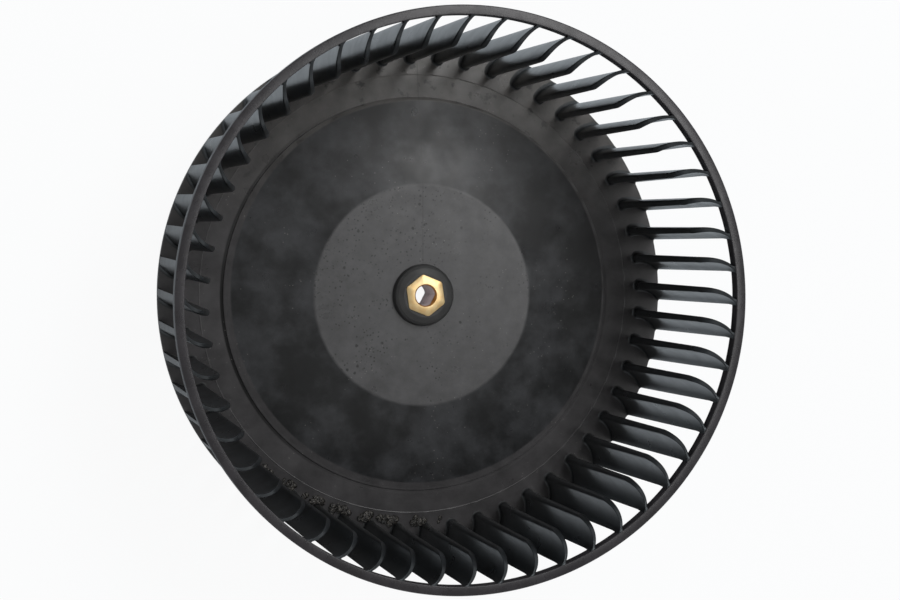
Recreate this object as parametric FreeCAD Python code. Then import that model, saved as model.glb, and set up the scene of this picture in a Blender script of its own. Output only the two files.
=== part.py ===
"""Blower motor wheel: a forward-curved, single-inlet fan wheel with a brass-bushed hub.

Frame: the wheel lies on its back plate. The origin is on the shaft axis in the plane of the
plate's back rim, +Z runs along the shaft towards the open (inlet) ring, and angles are measured
counter-clockwise from +X as seen from the inlet. All sizes are in millimetres and degrees.
"""

import math
import os

import FreeCAD
import Part

# ---- overall ---------------------------------------------------------------------------------
WHEEL_DIAMETER = 210.0
WHEEL_HEIGHT = 83.4
BLADE_COUNT = 52
FIRST_BLADE_ANGLE = 6.2

# ---- inlet ring ------------------------------------------------------------------------------
RING_WALL = 3.45
RING_HEIGHT = 4.8
RING_EDGE_RADIUS = 0.45

# ---- back plate: a shallow outer cone, a step, a steeper inner cone and a flat centre ---------
PLATE_THICKNESS = 2.4
DISH_ANGLE = 8.8
STEP_RADIUS = 77.0
STEP_HEIGHT = 0.8
DISC_ANGLE = 10.6
CENTRE_RADIUS = 43.1

# ---- blades: thickness and place of the section at the inlet end and at the plate end --------
CAMBER_RADIUS = 12.1
OUTLET_ANGLE = 51.0
INLET_ANGLE = 0.5
TIP_THICKNESS = 0.9
NOSE_THICKNESS = 2.1
DRAFT_TIP = 1.3
DRAFT_NOSE = 1.0
DRAFT_CHORD = 0.2
BLADE_LEAN = 0.4
FRONT_CORNER_REACH = 13.1
FRONT_CORNER_DROP = 18.6

# ---- hub -------------------------------------------------------------------------------------
HUB_BASE_RADIUS = 12.0
HUB_SHOULDER_RADIUS = 10.6
HUB_SHOULDER_HEIGHT = 3.5
HUB_COLLAR_RADIUS = 8.7
HUB_COLLAR_HEIGHT = 4.3

# ---- brass bush: a hexagon moulded into the hub, bored for a shaft with one flat --------------
BUSH_ACROSS_FLATS = 14.3
BUSH_LENGTH = 6.0
BUSH_STAND_PROUD = 0.4
BUSH_ANGLE = 8.0
BORE_RADIUS = 3.97
BORE_FLAT_DISTANCE = 3.35
BORE_FLAT_ANGLE = -28.0
BORE_CHAMFER = 0.4

# ---- balance putty: dabs on the plate, just inside the blade roots ---------------------------
PUTTY_FIRST_ANGLE = 221.0
PUTTY_LAST_ANGLE = 266.0
PUTTY_DABS = 8
PUTTY_RADIUS = 1.5
PUTTY_CLEARANCE = 0.3

# ---- values worked out from the sizes above --------------------------------------------------
RING_OUTER_RADIUS = WHEEL_DIAMETER / 2
BLADE_OUTER_RADIUS = RING_OUTER_RADIUS - RING_WALL
PITCH_ANGLE = 360.0 / BLADE_COUNT
DISH_SLOPE = math.tan(math.radians(DISH_ANGLE))
DISC_SLOPE = math.tan(math.radians(DISC_ANGLE))
TRIM = 2.0
AXIS = FreeCAD.Vector(0, 0, 1)
ORIGIN = FreeCAD.Vector(0, 0, 0)


def rim_front_z(radius):
    """Height of the plate's front face outside the step."""
    return PLATE_THICKNESS + (BLADE_OUTER_RADIUS - radius) * DISH_SLOPE


def disc_front_z(radius):
    """Height of the plate's front face inside the step, up to the flat centre."""
    rise = (STEP_RADIUS - max(radius, CENTRE_RADIUS)) * DISC_SLOPE
    return rim_front_z(STEP_RADIUS) + STEP_HEIGHT + rise


CENTRE_Z = disc_front_z(0.0)
HUB_TOP_Z = CENTRE_Z + HUB_COLLAR_HEIGHT
BUSH_TOP_Z = HUB_TOP_Z + BUSH_STAND_PROUD
BUSH_BOTTOM_Z = BUSH_TOP_Z - BUSH_LENGTH


def at(radius, z):
    """Point of a section drawn in the XZ plane."""
    return FreeCAD.Vector(radius, 0, z)


def revolve(edges):
    """Closed solid turned about the shaft axis from edges in the XZ plane."""
    face = Part.Face(Part.Wire(edges))
    return face.revolve(ORIGIN, AXIS, 360)


def turned(points):
    """Closed solid turned about the shaft axis from corner points (radius, z)."""
    corners = [at(radius, z) for radius, z in points]
    edges = [Part.makeLine(a, b) for a, b in zip(corners, corners[1:] + corners[:1])]
    return revolve(edges)


def flat_polygon(points, z):
    """Face at height z from corner points (x, y)."""
    corners = [FreeCAD.Vector(x, y, z) for x, y in points]
    return Part.Face(Part.makePolygon(corners + corners[:1]))


def front_ring():
    """Narrow band round the blade tips at the inlet, with softened edges."""
    outer = Part.makeCylinder(RING_OUTER_RADIUS, RING_HEIGHT)
    inner = Part.makeCylinder(BLADE_OUTER_RADIUS, RING_HEIGHT)
    ring = outer.cut(inner)
    circles = [edge for edge in ring.Edges if edge.isClosed()]
    outer_rims = [edge for edge in circles if edge.Curve.Radius > BLADE_OUTER_RADIUS + RING_WALL / 2]
    ring = ring.makeFillet(RING_EDGE_RADIUS, outer_rims)
    ring.translate(AXIS * (WHEEL_HEIGHT - RING_HEIGHT))
    return ring


def plate_rim():
    """Outer cone of the back plate, which carries the blade roots."""
    return turned([
        (STEP_RADIUS, rim_front_z(STEP_RADIUS) - PLATE_THICKNESS),
        (BLADE_OUTER_RADIUS, 0.0),
        (BLADE_OUTER_RADIUS, rim_front_z(BLADE_OUTER_RADIUS)),
        (STEP_RADIUS, rim_front_z(STEP_RADIUS)),
    ])


def plate_disc():
    """Raised inner cone and flat centre of the back plate, open for the hub."""
    return turned([
        (HUB_BASE_RADIUS, CENTRE_Z - PLATE_THICKNESS),
        (CENTRE_RADIUS, CENTRE_Z - PLATE_THICKNESS),
        (STEP_RADIUS, disc_front_z(STEP_RADIUS) - PLATE_THICKNESS),
        (STEP_RADIUS, disc_front_z(STEP_RADIUS)),
        (CENTRE_RADIUS, CENTRE_Z),
        (HUB_BASE_RADIUS, CENTRE_Z),
    ])


def shaft_bore(bottom, top):
    """Solid of the shaft's space between two heights, with its flat and a chamfer at each end."""
    bore = Part.makeCylinder(BORE_RADIUS, top - bottom, AXIS * bottom)
    reach = 2 * BORE_RADIUS
    beyond_flat = Part.makeBox(reach, 2 * reach, top - bottom, FreeCAD.Vector(BORE_FLAT_DISTANCE, -reach, bottom))
    beyond_flat.rotate(ORIGIN, AXIS, BORE_FLAT_ANGLE)
    return bore.cut(beyond_flat)


def bore_chamfer(z, outward):
    """Countersink of the bore at height z, opening in the direction outward (+1 up, -1 down)."""
    wide = BORE_RADIUS + BORE_CHAMFER
    return Part.makeCone(BORE_RADIUS, wide, BORE_CHAMFER, AXIS * (z - outward * BORE_CHAMFER), AXIS * outward)


def bush_blank():
    """Hexagonal bar of the brass bush, before it is bored."""
    corner_radius = BUSH_ACROSS_FLATS / 2 / math.cos(math.radians(30))
    angles = [math.radians(BUSH_ANGLE + 30 + 60 * side) for side in range(6)]
    points = [(corner_radius * math.cos(a), corner_radius * math.sin(a)) for a in angles]
    return flat_polygon(points, BUSH_BOTTOM_Z).extrude(AXIS * BUSH_LENGTH)


def hub_bush():
    """Brass hexagon with the shaft's bore."""
    bored = bush_blank().cut(shaft_bore(BUSH_BOTTOM_Z, BUSH_TOP_Z))
    return bored.cut(bore_chamfer(BUSH_TOP_Z, 1))


def hub_boss():
    """Hub body: a barrel behind the plate, a low shoulder in front, and the bush's pocket."""
    body = turned([
        (0.0, 0.0),
        (HUB_SHOULDER_RADIUS, 0.0),
        (HUB_SHOULDER_RADIUS, CENTRE_Z - PLATE_THICKNESS),
        (HUB_BASE_RADIUS, CENTRE_Z - PLATE_THICKNESS),
        (HUB_BASE_RADIUS, CENTRE_Z),
        (HUB_SHOULDER_RADIUS, CENTRE_Z + HUB_SHOULDER_HEIGHT),
        (HUB_COLLAR_RADIUS, HUB_TOP_Z),
        (0.0, HUB_TOP_Z),
    ])
    body = body.cut(bush_blank())
    body = body.cut(shaft_bore(0.0, BUSH_BOTTOM_Z))
    return body.cut(bore_chamfer(0.0, -1))


def camber_point(share, chord_stretch):
    """Point and inward direction of the blade's middle line; share runs from tip 0 to nose 1."""
    heading = math.radians(OUTLET_ANGLE + (INLET_ANGLE - OUTLET_ANGLE) * share)
    start = math.radians(OUTLET_ANGLE)
    inward = (CAMBER_RADIUS + chord_stretch) * (math.sin(start) - math.sin(heading))
    across = (CAMBER_RADIUS + chord_stretch) * (math.cos(heading) - math.cos(start))
    return BLADE_OUTER_RADIUS - inward, across, heading


def beside_camber(share, offset, chord_stretch, z):
    """Point beside the middle line: offset is positive on the convex side."""
    x, y, heading = camber_point(share, chord_stretch)
    return FreeCAD.Vector(x + offset * math.sin(heading), y + offset * math.cos(heading), z)


def blade_section(tip_thickness, nose_thickness, chord_stretch, z):
    """Closed outline of one blade at height z, run past the outer radius so that it can be trimmed."""
    half_tip = tip_thickness / 2
    half_nose = nose_thickness / 2
    half_middle = (half_tip + half_nose) / 2
    run_out = -TRIM / CAMBER_RADIUS
    convex = [beside_camber(s, h, chord_stretch, z) for s, h in
              ((run_out, half_tip), (0.5, half_middle), (1.0, half_nose))]
    concave = [beside_camber(s, -h, chord_stretch, z) for s, h in
               ((1.0, half_nose), (0.5, half_middle), (run_out, half_tip))]
    x, y, heading = camber_point(1.0, chord_stretch)
    nose = FreeCAD.Vector(x - half_nose * math.cos(heading), y + half_nose * math.sin(heading), z)
    edges = [
        Part.Arc(*convex).toShape(),
        Part.Arc(convex[-1], nose, concave[0]).toShape(),
        Part.Arc(*concave).toShape(),
        Part.makeLine(concave[-1], convex[0]),
    ]
    return Part.Wire(edges)


def nose_radius(nose_thickness, chord_stretch):
    """Distance from the shaft axis to the blade's innermost point."""
    x, y, heading = camber_point(1.0, chord_stretch)
    return math.hypot(x - nose_thickness / 2, y)


BLADE_INNER_RADIUS = nose_radius(NOSE_THICKNESS + DRAFT_NOSE, DRAFT_CHORD)


def front_corner(start, end):
    """Quarter of an ellipse from the blade's front edge round to its nose line."""
    centre = FreeCAD.Vector(start.x, 0, end.z)
    long_end, short_end = start, end
    if FRONT_CORNER_REACH > FRONT_CORNER_DROP:
        long_end, short_end = end, start
    ellipse = Part.Ellipse(long_end, short_end, centre)
    return Part.ArcOfEllipse(ellipse, 0, math.pi / 2).toShape()


def blade_space():
    """Turned space that the blades may fill: on the plate's cone, inside the ring."""
    inner = BLADE_INNER_RADIUS - TRIM
    space = turned([
        (inner, rim_front_z(inner)),
        (BLADE_OUTER_RADIUS, rim_front_z(BLADE_OUTER_RADIUS)),
        (BLADE_OUTER_RADIUS, WHEEL_HEIGHT),
        (inner, WHEEL_HEIGHT),
    ])
    space.rotate(ORIGIN, AXIS, 180)
    return space


def corner_waste():
    """Turned space cut from the blades' inner front corner to round it."""
    inner = BLADE_INNER_RADIUS - TRIM
    above = WHEEL_HEIGHT + TRIM
    curve_end = at(BLADE_INNER_RADIUS, WHEEL_HEIGHT - FRONT_CORNER_DROP)
    curve_start = at(BLADE_INNER_RADIUS + FRONT_CORNER_REACH, WHEEL_HEIGHT)
    corners = [curve_start, at(curve_start.x, above), at(inner, above), at(inner, curve_end.z), curve_end]
    edges = [Part.makeLine(a, b) for a, b in zip(corners, corners[1:])]
    edges.append(front_corner(curve_start, curve_end))
    waste = revolve(edges)
    waste.rotate(ORIGIN, AXIS, 180)
    return waste


def first_blade():
    """Blade at angle zero: a drafted loft, leaned back at the plate, trimmed and rounded."""
    root = blade_section(TIP_THICKNESS + DRAFT_TIP, NOSE_THICKNESS + DRAFT_NOSE, DRAFT_CHORD, 0.0)
    root.rotate(ORIGIN, AXIS, -BLADE_LEAN)
    inlet = blade_section(TIP_THICKNESS, NOSE_THICKNESS, 0.0, WHEEL_HEIGHT)
    blade = Part.makeLoft([root, inlet], True, True)
    return blade.common(blade_space()).cut(corner_waste()).Solids[0]


def blades():
    """All blades, named blade_01 onwards, evenly spaced round the shaft."""
    pattern = first_blade()
    found = {}
    for index in range(BLADE_COUNT):
        blade = pattern.copy()
        blade.rotate(ORIGIN, AXIS, FIRST_BLADE_ANGLE + index * PITCH_ANGLE)
        found["blade_%02d" % (index + 1)] = blade
    return found


def balance_putty():
    """Dabs of putty on the plate, each a dome that stops short of the blade roots."""
    centre_radius = BLADE_INNER_RADIUS - PUTTY_CLEARANCE - PUTTY_RADIUS
    step = (PUTTY_LAST_ANGLE - PUTTY_FIRST_ANGLE) / (PUTTY_DABS - 1)
    above_plate = turned([
        (STEP_RADIUS, rim_front_z(STEP_RADIUS)),
        (BLADE_OUTER_RADIUS, rim_front_z(BLADE_OUTER_RADIUS)),
        (BLADE_OUTER_RADIUS, WHEEL_HEIGHT),
        (STEP_RADIUS, WHEEL_HEIGHT),
    ])
    dabs = []
    for index in range(PUTTY_DABS):
        dab = Part.makeSphere(PUTTY_RADIUS, at(centre_radius, rim_front_z(centre_radius)))
        dab = dab.common(above_plate).Solids[0]
        dab.rotate(ORIGIN, AXIS, PUTTY_FIRST_ANGLE + index * step)
        dabs.append(dab)
    return Part.Compound(dabs)


def build():
    """Every node of the wheel, by name."""
    nodes = {
        "front_ring": front_ring(),
        "plate_rim": plate_rim(),
        "plate_disc": plate_disc(),
        "hub_boss": hub_boss(),
        "hub_bush": hub_bush(),
        "balance_putty": balance_putty(),
    }
    nodes.update(blades())
    return nodes


os.makedirs("parts", exist_ok=True)
for name, shape in build().items():
    shape.exportStep("parts/%s.step" % name)
    print("%-14s %9.1f mm3  valid %s  solids %d" % (name, shape.Volume, shape.isValid(), len(shape.Solids)))
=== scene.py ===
"""Looks of a blower motor wheel: a black moulded fan wheel with a brass-bushed hub, on a pale floor.

The wheel lies on its back plate. The frame's origin is on the shaft axis in the plane of the
plate's back rim, +Z points to the open inlet ring, and sizes here are in millimetres until a mesh
is made, which turns them into metres.
"""

import logging
import math
from dataclasses import dataclass, field
from enum import Enum
from typing import Callable, Sequence

import bpy
import numpy as np
from mathutils import Matrix, Vector


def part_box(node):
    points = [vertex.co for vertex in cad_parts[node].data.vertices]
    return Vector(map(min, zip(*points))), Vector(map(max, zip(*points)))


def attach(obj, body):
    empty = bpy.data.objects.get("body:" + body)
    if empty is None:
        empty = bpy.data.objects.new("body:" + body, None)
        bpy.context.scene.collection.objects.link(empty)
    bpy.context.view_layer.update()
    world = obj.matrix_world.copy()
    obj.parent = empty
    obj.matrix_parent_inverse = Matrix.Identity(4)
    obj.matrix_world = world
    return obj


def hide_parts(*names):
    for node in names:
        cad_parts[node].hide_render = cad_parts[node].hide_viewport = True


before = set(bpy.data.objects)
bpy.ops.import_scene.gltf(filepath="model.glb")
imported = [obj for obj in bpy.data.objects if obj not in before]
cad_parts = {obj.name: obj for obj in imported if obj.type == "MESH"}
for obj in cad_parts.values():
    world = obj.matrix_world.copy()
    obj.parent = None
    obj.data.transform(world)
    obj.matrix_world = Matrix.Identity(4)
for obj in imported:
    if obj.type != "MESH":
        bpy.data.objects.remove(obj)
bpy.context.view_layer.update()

MM = 0.001
BODY = "root"
WHITE = (1.0, 1.0, 1.0, 1.0)
LOG = logging.getLogger("blower_wheel")

Outline = list[tuple[float, float]]
Corner = tuple[float, float, float]
Faces = list[tuple[int, ...]]
Tree = bpy.types.NodeTree
Lengths = float | np.ndarray
Socket = bpy.types.NodeSocket


class Slot(Enum):
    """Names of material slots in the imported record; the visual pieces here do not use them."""

    BLACK_PLASTIC = "black_plastic"
    RING_PLASTIC = "ring_plastic"
    BRASS = "brass"
    PUTTY = "putty"


# ---- frame sizes -----------------------------------------------------------------------------

def top_of(node: str) -> float:
    """Height of a CAD node's highest point, in millimetres."""
    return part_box(node)[1].z / MM


def bottom_of(node: str) -> float:
    """Height of a CAD node's lowest point, in millimetres."""
    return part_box(node)[0].z / MM


def radius_of(node: str) -> float:
    """Outer radius of a turned CAD node, in millimetres."""
    low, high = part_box(node)
    return (high.x - low.x) / 2 / MM


# ---- node and mesh helpers -------------------------------------------------------------------

def linear(colour: str) -> tuple[float, float, float, float]:
    """Turns an sRGB hex colour into linear values.

    Args:
        colour: Six hex digits with a leading hash sign.

    Returns:
        Linear red, green and blue, with an alpha of 1.
    """
    channels = [int(colour[i:i + 2], 16) / 255 for i in (1, 3, 5)]
    bent = [c / 12.92 if c <= 0.04045 else ((c + 0.055) / 1.055) ** 2.4 for c in channels]
    return bent[0], bent[1], bent[2], 1.0


def add_node(tree: Tree, kind: str, inputs: dict | None = None, **settings) -> bpy.types.Node:
    """Adds a node with its settings, its values and its links.

    Args:
        tree: Node tree that gets the node.
        kind: Blender's name for the node type.
        inputs: Values or output sockets by input name or number.
        **settings: The node's own properties.

    Returns:
        The new node.
    """
    node = tree.nodes.new(kind)
    for name, value in settings.items():
        setattr(node, name, value)
    for name, value in (inputs or {}).items():
        if isinstance(value, Socket):
            tree.links.new(value, node.inputs[name])
        else:
            node.inputs[name].default_value = value
    return node


def per_metre(size_mm: float) -> float:
    """Texture scale that makes one pattern cell as large as a size in millimetres."""
    return 1.0 / (size_mm * MM)


def from_axis(tree: Tree, place: Socket) -> Socket:
    """Distance of each point from the shaft axis.

    Args:
        tree: Material's node tree.
        place: Position on the wheel.

    Returns:
        Socket of the distance.
    """
    flat = add_node(tree, "ShaderNodeVectorMath", {0: place, 1: (1.0, 1.0, 0.0)}, operation="MULTIPLY")
    length = add_node(tree, "ShaderNodeVectorMath", {0: flat.outputs["Vector"]}, operation="LENGTH")
    return length.outputs["Value"]


def heading(direction: float) -> tuple[float, float, float]:
    """Unit vector of a direction, which is given in degrees from +X towards +Y."""
    return math.cos(math.radians(direction)), math.sin(math.radians(direction)), 0.0


def rounded(corners: Sequence[Corner], steps: int = 5) -> Outline:
    """Rounds the corners of a closed outline.

    Args:
        corners: Points as (radius, height, rounding), in order round the outline.
        steps: Number of straight pieces in each rounding.

    Returns:
        Points of the outline as (radius, height).
    """
    path: Outline = []
    count = len(corners)
    for index, (x, z, rounding) in enumerate(corners):
        here = np.array((x, z))
        before = np.array(corners[index - 1][:2]) - here
        after = np.array(corners[(index + 1) % count][:2]) - here
        before = before / np.linalg.norm(before)
        after = after / np.linalg.norm(after)
        half = math.acos(float(np.clip(before @ after, -1.0, 1.0))) / 2
        if rounding <= 0 or half > math.radians(89):
            path.append((x, z))
            continue
        middle = (before + after) / np.linalg.norm(before + after)
        centre = here + middle * rounding / math.sin(half)
        start = here + before * rounding / math.tan(half) - centre
        end = here + after * rounding / math.tan(half) - centre
        sweep = math.pi - 2 * half
        for step in range(steps + 1):
            share = step / steps
            blend = (math.sin((1 - share) * sweep) * start + math.sin(share * sweep) * end) / math.sin(sweep)
            path.append(tuple(centre + blend))
    return path


def new_piece(name: str, points: np.ndarray, faces: Faces, material: bpy.types.Material,
              stands_for: Sequence[str], sharp: float = 38.0) -> bpy.types.Object:
    """Makes a shaded mesh that rides on the wheel and stands for CAD nodes.

    Args:
        name: Name of the piece.
        points: Vertices in millimetres, one row each.
        faces: Vertex numbers of each face.
        material: Finish of the whole piece.
        stands_for: CAD nodes that the piece is shown instead of.
        sharp: Angle in degrees above which an edge is shaded sharp.

    Returns:
        The new object.
    """
    mesh = bpy.data.meshes.new(name)
    mesh.from_pydata((np.asarray(points) * MM).tolist(), [], faces)
    mesh.validate()
    mesh.polygons.foreach_set("use_smooth", [True] * len(mesh.polygons))
    mesh.set_sharp_from_angle(angle=math.radians(sharp))
    mesh.materials.append(material)
    piece = bpy.data.objects.new(name, mesh)
    bpy.context.scene.collection.objects.link(piece)
    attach(piece, BODY)
    if stands_for:
        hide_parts(*stands_for)
    LOG.info("%s: %d faces", name, len(mesh.polygons))
    return piece


def loft_rings(rings: Sequence[np.ndarray], closed: bool = True) -> tuple[np.ndarray, Faces]:
    """Joins rings of equally many points with four-sided faces.

    Args:
        rings: Each ring's points, one row each, in order along the loft.
        closed: Whether the last ring joins the first.

    Returns:
        All points, and the faces.
    """
    size = len(rings[0])
    count = len(rings)
    faces: Faces = []
    for row in range(count if closed else count - 1):
        here = row * size
        there = (row + 1) % count * size
        for column in range(size):
            following = (column + 1) % size
            faces.append((here + column, here + following, there + following, there + column))
    return np.vstack(rings), faces


def turned(outline: Outline, segments: int,
           drift: Callable[[np.ndarray, float, float], np.ndarray] | None = None) -> tuple[np.ndarray, Faces]:
    """Turns a closed outline about the shaft axis.

    Args:
        outline: Points as (radius, height).
        segments: Number of steps round the axis.
        drift: Optional change of radius by angle, radius and height.

    Returns:
        All points, and the faces.
    """
    angles = np.arange(segments) * 2 * math.pi / segments
    rings = []
    for radius, height in outline:
        around = radius + (drift(angles, radius, height) if drift else np.zeros(segments))
        rings.append(np.column_stack((around * np.cos(angles), around * np.sin(angles),
                                      np.full(segments, height))))
    return loft_rings(rings)


# ---- finishes --------------------------------------------------------------------------------

@dataclass(frozen=True)
class Finish:
    """One finish, which lays down its own nodes in a material of its own name."""

    name: str

    def material(self) -> bpy.types.Material:
        """Builds the material.

        Returns:
            The finished material.
        """
        material = bpy.data.materials.new(self.name)
        material.use_nodes = True
        tree = material.node_tree
        tree.nodes.clear()
        shader = self.lay(tree, add_node(tree, "ShaderNodeTexCoord").outputs["Object"])
        add_node(tree, "ShaderNodeOutputMaterial", {"Surface": shader})
        return material

    def lay(self, tree: Tree, place: Socket) -> Socket:
        """Lays down the finish's nodes.

        Args:
            tree: Material's node tree.
            place: Position on the wheel.

        Returns:
            Socket of the finished shader.
        """
        raise NotImplementedError


@dataclass(frozen=True)
class MouldedNylon(Finish):
    """Glass-filled nylon 66, injection moulded black.

    To the eye: near-black with a soft sheen, faintly clouded where the glass fibre swirled, and a
    very fine orange-peel skin from the mould.
    """

    colour: str
    cloud_colour: str
    cloud_size: float
    roughness: float
    roughness_spread: float
    skin_size: float
    skin_depth: float
    sheen_tint: str = "#FFFFFF"
    ior: float = 1.53

    def lay(self, tree: Tree, place: Socket) -> Socket:
        """Lays down the finish's nodes.

        Args:
            tree: Material's node tree.
            place: Position on the wheel.

        Returns:
            Socket of the finished shader.
        """
        shader = add_node(tree, "ShaderNodeBsdfPrincipled", {
            "Base Color": self.clouded(tree, place), "Roughness": self.sheen(tree, place),
            "IOR": self.ior, "Specular Tint": linear(self.sheen_tint), "Normal": self.skin(tree, place),
        })
        return shader.outputs["BSDF"]

    def clouded(self, tree: Tree, place: Socket) -> Socket:
        """Colour with the fibre's soft clouding.

        Args:
            tree: Material's node tree.
            place: Position on the wheel.

        Returns:
            Socket of the colour.
        """
        clouds = add_node(tree, "ShaderNodeTexNoise", {
            "Vector": place, "Scale": per_metre(self.cloud_size), "Detail": 5.0, "Roughness": 0.55,
        })
        amount = add_node(tree, "ShaderNodeMapRange", {
            "Value": clouds.outputs["Fac"], "From Min": 0.36, "From Max": 0.66,
        }, interpolation_type="SMOOTHSTEP")
        mix = add_node(tree, "ShaderNodeMix", {
            "Factor": amount.outputs["Result"], 6: linear(self.colour), 7: linear(self.cloud_colour),
        }, data_type="RGBA")
        return mix.outputs[2]

    def sheen(self, tree: Tree, place: Socket) -> Socket:
        """Roughness that wanders a little over the skin.

        Args:
            tree: Material's node tree.
            place: Position on the wheel.

        Returns:
            Socket of the roughness.
        """
        patches = add_node(tree, "ShaderNodeTexNoise", {
            "Vector": place, "Scale": per_metre(self.cloud_size * 0.6), "Detail": 4.0,
        })
        spread = add_node(tree, "ShaderNodeMapRange", {
            "Value": patches.outputs["Fac"], "From Min": 0.3, "From Max": 0.7,
            "To Min": self.roughness - self.roughness_spread,
            "To Max": self.roughness + self.roughness_spread,
        })
        return spread.outputs["Result"]

    def skin(self, tree: Tree, place: Socket) -> Socket:
        """Fine orange-peel of the mould's surface.

        Args:
            tree: Material's node tree.
            place: Position on the wheel.

        Returns:
            Socket of the surface normal.
        """
        peel = add_node(tree, "ShaderNodeTexNoise", {
            "Vector": place, "Scale": per_metre(self.skin_size), "Detail": 3.0,
        })
        bump = add_node(tree, "ShaderNodeBump", {
            "Height": peel.outputs["Fac"], "Distance": self.skin_depth * MM, "Strength": 1.0,
        })
        return bump.outputs["Normal"]


@dataclass(frozen=True)
class MouldedPlate(MouldedNylon):
    """The same nylon on the back plate, where three mould inserts left three different skins.

    To the eye: a paler matt flat centre with dark pits, a darker glossy cone with soft clouds, and
    an outer band that is smudged on its +Y side, crossed by one fine flow line. The band is painted
    lighter and browner towards +Y as a painted highlight, and the groove outside the step is painted
    darker towards -X as painted shade. Spans are in millimetres, along an axis or beside the step.
    Each kind of pit is given as (spacing, edge, crowd size, rarity).
    """

    centre_radius: float = 43.1
    step_radius: float = 77.0
    lip_radius: float = 75.0
    lip_shift: float = 1.1
    lip_direction: float = 235.0
    step_roughness: float = 0.85
    dull_span: tuple[float, float] = (1.2, 0.7)
    dull_side: tuple[float, float] = (30.0, 0.0)
    # Painted highlight: heights over which the outer band turns lighter and browner towards +Y.
    painted_highlight_side: tuple[float, float] = (25.0, 80.0)
    # Painted shade: spans of the darkened groove outside the step, and the -X side where it is darkest.
    painted_shade_span: tuple[float, float] = (1.5, 0.9)
    painted_shade_side: tuple[float, float] = (-30.0, -70.0)
    centre_colour: str = "#3C3C3D"
    band_colour: str = "#383738"
    # Painted highlight: the lighter, browner colour of the band's +Y side.
    painted_highlight_colour: str = "#4A4846"
    # Painted shade: the dark colour of the groove outside the step.
    painted_shade_colour: str = "#060606"
    pit_colour: str = "#121212"
    dust_colour: str = "#8C8A86"
    dust_spacing: float = 1.9
    dust_grouping: float = 18.0
    pit_kinds: tuple[tuple[float, ...], ...] = ((1.6, 0.27, 12.0, 0.49), (3.4, 0.22, 9.0, 0.53))
    pit_ragging: float = 0.7
    pit_direction: float = 140.0
    pit_crowding: float = 2.4
    mottle_size: float = 9.0
    smudge_size: float = 5.0
    flow_line_width: float = 0.35

    def clouded(self, tree: Tree, place: Socket) -> Socket:
        """Colour of the three skins with everything that marks them, with a painted highlight on the band and
        painted shade in the groove.

        Args:
            tree: Material's node tree.
            place: Position on the wheel.

        Returns:
            Socket of the colour.
        """
        radius = from_axis(tree, place)
        centre = add_node(tree, "ShaderNodeMapRange", {
            "Value": radius, "From Min": (self.centre_radius + 0.5) * MM,
            "From Max": (self.centre_radius - 0.5) * MM,
        }).outputs["Result"]
        band = self.band(tree, place, radius)
        axes = add_node(tree, "ShaderNodeSeparateXYZ", {"Vector": place})
        # Painted highlight: the outer band is blended lighter and browner towards +Y.
        painted_highlight = add_node(tree, "ShaderNodeMapRange", {
            "Value": axes.outputs["Y"], "From Min": self.painted_highlight_side[0] * MM,
            "From Max": self.painted_highlight_side[1] * MM,
        }).outputs["Result"]
        painted_highlight_band = add_node(tree, "ShaderNodeMath", {0: band, 1: painted_highlight}, operation="MULTIPLY")
        outer = add_node(tree, "ShaderNodeMix", {
            "Factor": painted_highlight, 6: linear(self.band_colour), 7: linear(self.painted_highlight_colour),
        }, data_type="RGBA").outputs[2]
        marks = self.pits(tree, place, centre)
        for others in (self.flow_line(tree, place), self.smudges(tree, place, painted_highlight_band.outputs["Value"])):
            marks = add_node(tree, "ShaderNodeMath", {0: marks, 1: others},
                             operation="MAXIMUM").outputs["Value"]
        colour = super().clouded(tree, place)
        for share, over, way in ((centre, linear(self.centre_colour), "MIX"),
                                 (band, outer, "MIX"),
                                 (1.0, self.mottle(tree, place), "MULTIPLY"),
                                 (marks, linear(self.pit_colour), "MIX"),
                                 # Painted shade in the groove outside the step, darkest towards -X.
                                 (self.painted_shade(tree, place, radius), linear(self.painted_shade_colour), "MIX"),
                                 (self.dust(tree, place), linear(self.dust_colour), "MIX")):
            colour = add_node(tree, "ShaderNodeMix", {"Factor": share, 6: colour, 7: over},
                              data_type="RGBA", blend_type=way).outputs[2]
        return colour

    def band(self, tree: Tree, place: Socket, radius: Socket) -> Socket:
        """Share of each point that is the outer band, whose edge is a little off centre.

        Args:
            tree: Material's node tree.
            place: Position on the wheel.
            radius: Distance from the shaft axis.

        Returns:
            Socket of the share.
        """
        towards = add_node(tree, "ShaderNodeVectorMath", {0: place, 1: heading(self.lip_direction)},
                           operation="DOT_PRODUCT")
        drifted = add_node(tree, "ShaderNodeMath", {
            0: towards.outputs["Value"], 1: self.lip_shift / self.lip_radius, 2: radius,
        }, operation="MULTIPLY_ADD")
        return add_node(tree, "ShaderNodeMapRange", {
            "Value": drifted.outputs["Value"], "From Min": (self.lip_radius - 0.6) * MM,
            "From Max": (self.lip_radius + 0.3) * MM,
        }, interpolation_type="SMOOTHSTEP").outputs["Result"]

    def mottle(self, tree: Tree, place: Socket) -> Socket:
        """Factor by which the plate's colour wanders from patch to patch.

        Args:
            tree: Material's node tree.
            place: Position on the wheel.

        Returns:
            Socket of the factor.
        """
        patches = add_node(tree, "ShaderNodeTexNoise", {
            "Vector": place, "Scale": per_metre(self.mottle_size), "Detail": 6.0, "Roughness": 0.65,
        })
        return add_node(tree, "ShaderNodeMapRange", {
            "Value": patches.outputs["Fac"], "From Min": 0.3, "From Max": 0.7, "To Min": 0.62, "To Max": 1.3,
        }).outputs["Result"]

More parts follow.
